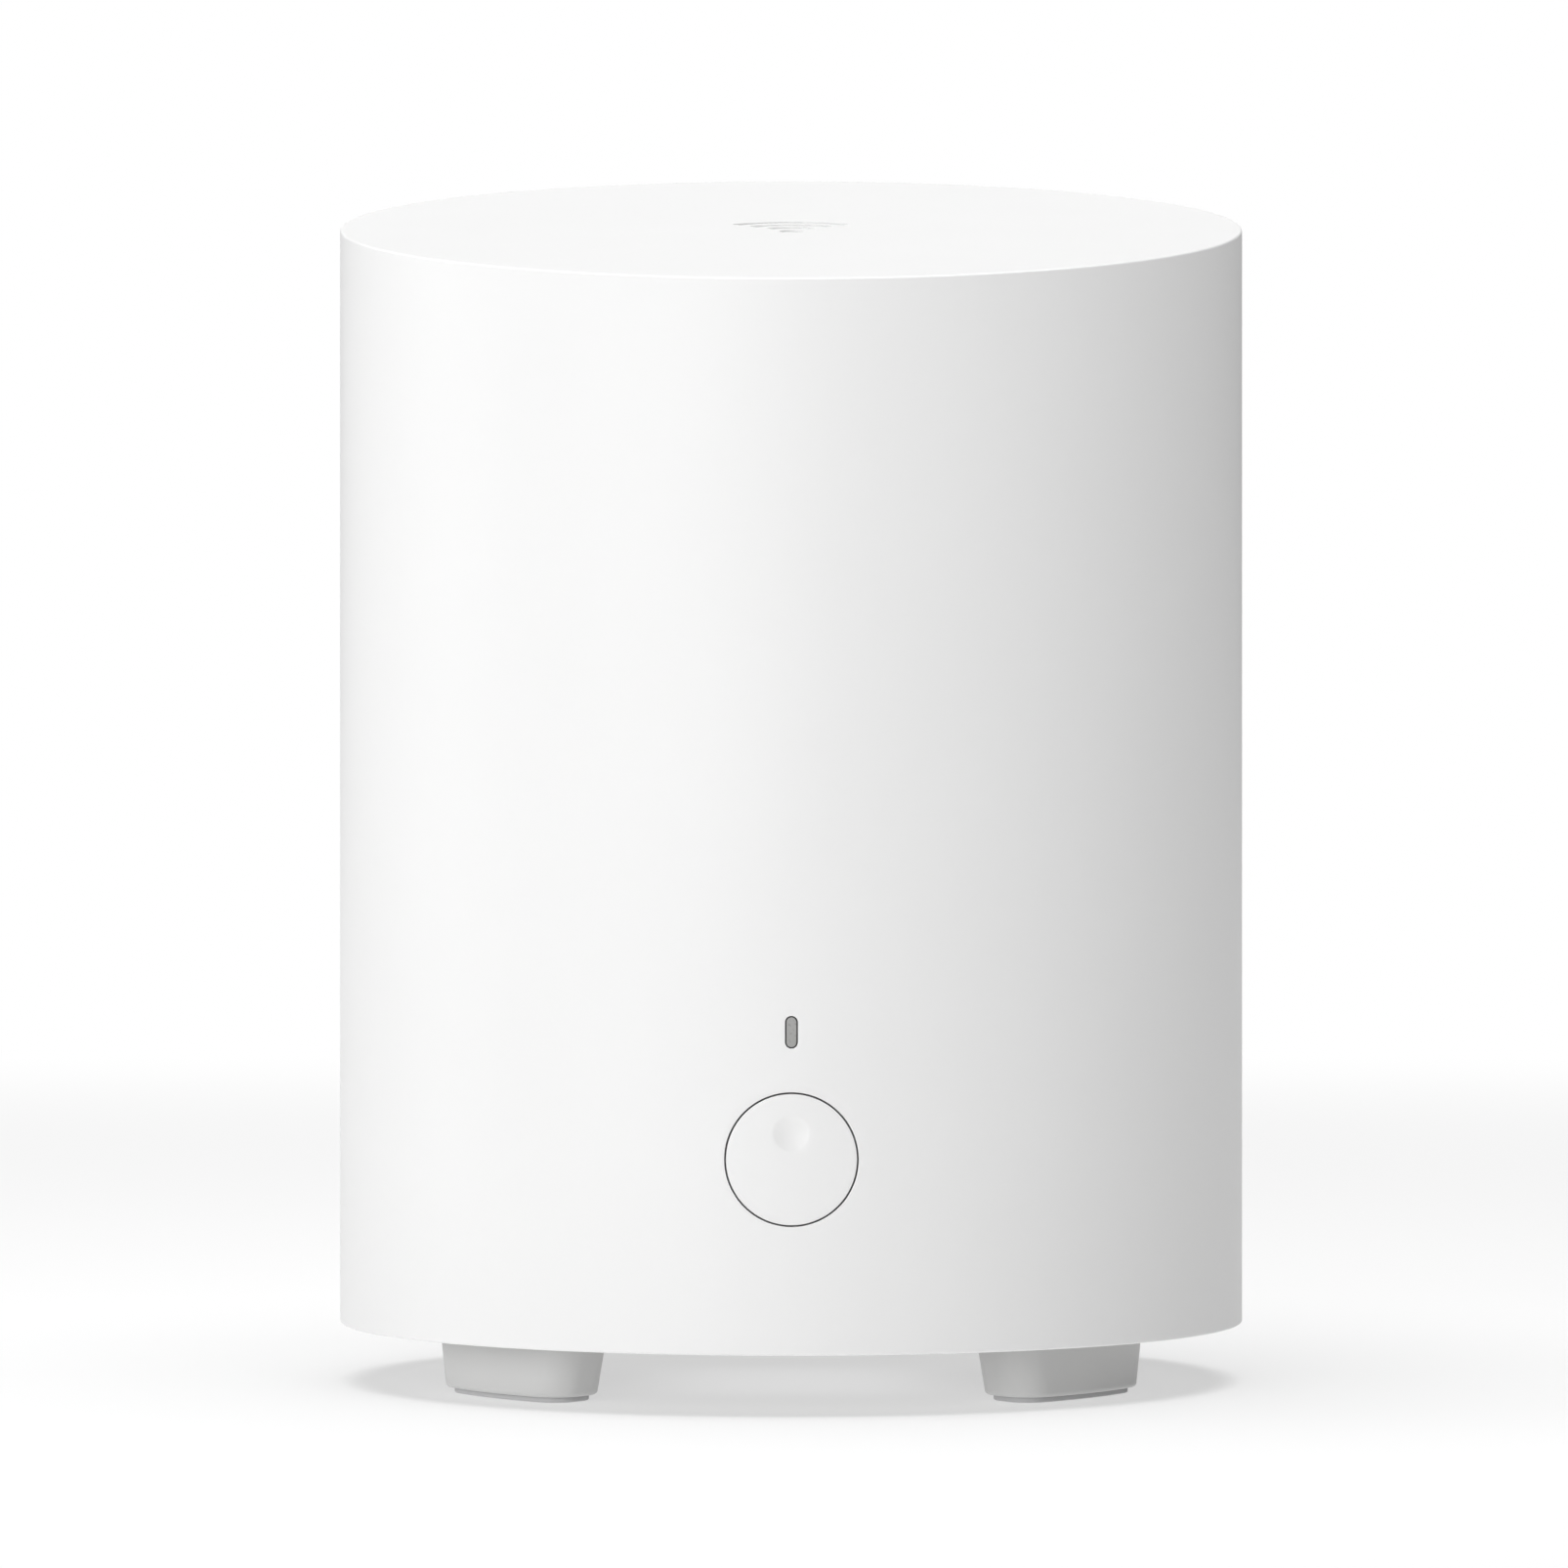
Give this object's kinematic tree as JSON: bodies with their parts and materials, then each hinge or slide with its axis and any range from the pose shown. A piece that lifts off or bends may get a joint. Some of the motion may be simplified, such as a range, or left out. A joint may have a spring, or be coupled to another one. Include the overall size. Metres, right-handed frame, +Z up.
{
  "type": "mesh wifi node",
  "caption": "Cylindrical white mesh wifi node with a sloping top, a flush round button and status light low on the front, a rear port bay and rubber-padded feet.",
  "frame": {"origin": "on the plane that the foot pads stand on, on the axis of the cylindrical body", "axes": "+Z up; -Y towards the front with the status light and the mesh button; +X to the right as seen from the front"},
  "size_m": [0.1, 0.1, 0.1366],
  "materials": {
    "shell_white": "fine matte moulded white",
    "button_white": "fine matte moulded white",
    "light_window": "smoked translucent window, unlit",
    "base_grey": "fine matte moulded grey",
    "foot_grey": "fine matte moulded grey",
    "pad_rubber": "soft matte grey rubber",
    "bay_black": "matte moulded black",
    "switch_black": "matte black nylon",
    "frame_plastic": "natural off-white, unpainted",
    "circuit_board": "green solder mask",
    "antenna_board": "black coated laminate",
    "cable_jacket": "thin smooth jacket",
    "chip": "moulded chip package",
    "heatsink_metal": "extruded, satin",
    "tinplate": "stamped tin-plated sheet",
    "contact_gold": "gold-plated spring contacts",
    "steel": "plain zinc-plated steel",
    "thermal_pad": "soft filled silicone",
    "label": "blank matte film",
    "ribbon": "flat white cable",
    "led": "clear cast lens"
  },
  "bodies": {
    "housing": {"antenna_high_band_left": "antenna_board", "antenna_high_band_right": "antenna_board", "antenna_lead_high_band_left": "cable_jacket", "antenna_lead_high_band_right": "cable_jacket", "antenna_lead_low_band_left": "cable_jacket", "antenna_lead_low_band_right": "cable_jacket", "antenna_low_band_left": "antenna_board", "antenna_low_band_right": "antenna_board", "base_plate": "base_grey", "base_screw_front_left": "steel", "base_screw_front_right": "steel", "base_screw_rear_left": "steel", "base_screw_rear_right": "steel", "blank_label": "label", "board_screw_left": "steel", "board_screw_right": "steel", "bracket_screw_left": "steel", "bracket_screw_right": "steel", "foot_front_left": "foot_grey", "foot_front_right": "foot_grey", "foot_pad_front_left": "pad_rubber", "foot_pad_front_right": "pad_rubber", "foot_pad_rear_left": "pad_rubber", "foot_pad_rear_right": "pad_rubber", "foot_rear_left": "foot_grey", "foot_rear_right": "foot_grey", "frame_screw_left": "steel", "frame_screw_right": "steel", "front_board": "circuit_board", "front_board_ribbon": "ribbon", "front_bracket": "frame_plastic", "heatsink_front": "heatsink_metal", "heatsink_pin_1": "switch_black", "heatsink_pin_2": "switch_black", "heatsink_rear": "heatsink_metal", "inner_frame": "frame_plastic", "lan_contacts_1": "contact_gold", "lan_contacts_2": "contact_gold", "lan_socket_1": "tinplate", "lan_socket_2": "tinplate", "light_pipe": "light_window", "main_board": "circuit_board", "mesh_switch_body": "switch_black", "outer_shell": "shell_white", "port_bay": "bay_black", "power_pin": "steel", "power_socket": "bay_black", "processor_chip": "chip", "processor_shield": "tinplate", "radio_chip": "chip", "radio_shield": "tinplate", "reset_switch_body": "switch_black", "ribbon_socket_front": "switch_black", "ribbon_socket_main": "switch_black", "status_led": "led", "thermal_pad": "thermal_pad"},
    "button": {"mesh_button": "button_white"},
    "switch_plunger": {"mesh_switch_plunger": "steel"},
    "reset_plunger_body": {"reset_plunger": "steel"}
  },
  "joints": [
    {"name": "button_press", "type": "slide", "parent": "housing", "child": "button", "axis": [0, 1, 0], "range_m": [0, 0.0005], "stiffness_N_per_m": 1500},
    {"name": "switch_plunger_press", "type": "slide", "parent": "housing", "child": "switch_plunger", "axis": [0, 1, 0], "range_m": [0, 0.0005], "stiffness_N_per_m": 500},
    {"name": "reset_press", "type": "slide", "parent": "housing", "child": "reset_plunger_body", "axis": [0, 0, 1], "range_m": [0, 0.0003], "stiffness_N_per_m": 500}
  ],
  "couplings": [
    {"joint": "switch_plunger_press", "follows": "button_press", "ratio": 1}
  ]
}
